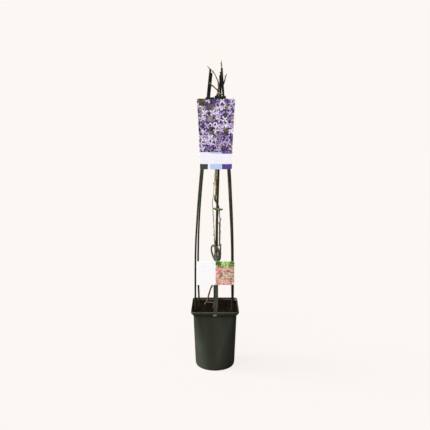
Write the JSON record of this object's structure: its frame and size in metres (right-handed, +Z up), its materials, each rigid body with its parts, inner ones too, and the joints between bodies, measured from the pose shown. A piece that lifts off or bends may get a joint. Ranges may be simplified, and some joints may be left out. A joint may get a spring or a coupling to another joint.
{
  "type": "potted climbing plant",
  "caption": "Bare young wisteria trained up green canes in a square-topped nursery pot, with a picture card clipped to the canes and a small label card on a stake.",
  "frame": {"origin": "centre of the pot's foot, on the surface that the pot stands on", "axes": "+Z up along the canes, -Y towards the front, which both cards face, +X to the right seen from the front"},
  "size_m": [0.14, 0.14, 0.9011],
  "materials": {
    "moulded_pot": "satin",
    "peat_soil": "matte",
    "dyed_cane": "satin",
    "clip_plastic": "satin",
    "printed_card": "gloss",
    "printed_label": "gloss",
    "stake_plastic": "satin",
    "bark": "matte",
    "tie_cord": "matte"
  },
  "bodies": {
    "root": {"pot": "moulded_pot", "soil": "peat_soil", "cane_centre": "dyed_cane", "cane_left_front": "dyed_cane", "cane_left_back": "dyed_cane", "cane_right_front": "dyed_cane", "cane_right_back": "dyed_cane", "clip_left": "clip_plastic", "clip_right": "clip_plastic", "display_card": "printed_card", "label_card": "printed_label", "label_stake": "stake_plastic", "wisteria": "bark", "tie_middle": "tie_cord", "tie_top": "tie_cord"}
  },
  "joints": []
}
